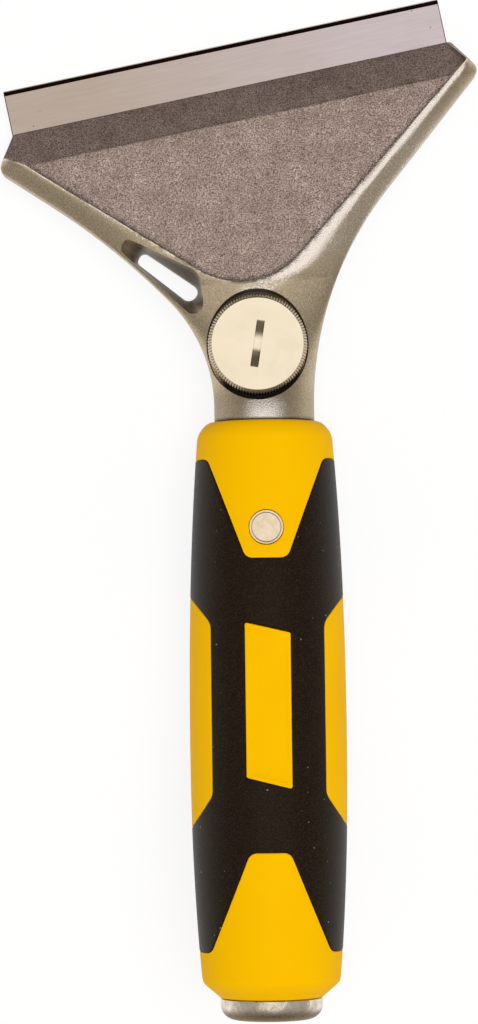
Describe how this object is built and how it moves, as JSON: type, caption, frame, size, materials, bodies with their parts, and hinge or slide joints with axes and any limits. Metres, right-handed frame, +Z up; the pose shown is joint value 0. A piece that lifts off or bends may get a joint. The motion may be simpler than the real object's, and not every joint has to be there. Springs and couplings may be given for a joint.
{
  "type": "hand scraper",
  "caption": "Hand scraper with a skewed cast head, a reversible blade held by a clamp plate and a knurled coin-slot screw, and a pinned two-colour grip with a metal strike cap.",
  "frame": {"origin": "centre of the bounding box on the bench that the tool lies on", "axes": "+Y along the handle towards the blade, +Z up from the bench, out of the face with the clamp screw"},
  "size_m": [0.1076, 0.227, 0.0477],
  "materials": {
    "cast_zinc": null,
    "blade_steel": "ground hardened steel",
    "plate_steel": "zinc-plated steel",
    "nickel_plating": "warm bright plating on steel",
    "drawn_aluminium": "mill finish",
    "yellow_plastic": "satin moulded plastic",
    "black_rubber": "finely grained rubber overmould",
    "pin_steel": "bright turned steel"
  },
  "bodies": {
    "tool": {"head_casting": "cast_zinc", "screw_washer": "plate_steel", "core_tube": "drawn_aluminium", "handle_core": "yellow_plastic", "grip_sleeve": "black_rubber", "cross_pin": "pin_steel", "strike_cap": "cast_zinc"},
    "screw": {"clamp_screw": "nickel_plating", "screw_retaining_ring": "plate_steel"},
    "clamp": {"clamp_plate": "plate_steel"},
    "blade": {"scraper_blade": "blade_steel"}
  },
  "joints": [
    {"name": "screw_turn", "type": "hinge", "parent": "tool", "child": "screw", "pos_m": [0.00352, 0.03615, 0.012], "axis": [-0.0292, 0.1449, 0.989], "range_deg": [0, 1080]},
    {"name": "clamp_release", "type": "slide", "parent": "tool", "child": "clamp", "axis": [0.0292, -0.1449, -0.989], "range_m": [0, 0.00375]},
    {"name": "blade_change", "type": "slide", "parent": "tool", "child": "blade", "axis": [-0.1955, 0.9695, -0.1478], "range_m": [0, 0.014]}
  ],
  "couplings": [
    {"joint": "screw_turn", "follows": "clamp_release", "rad_per_m": 5026.5}
  ]
}
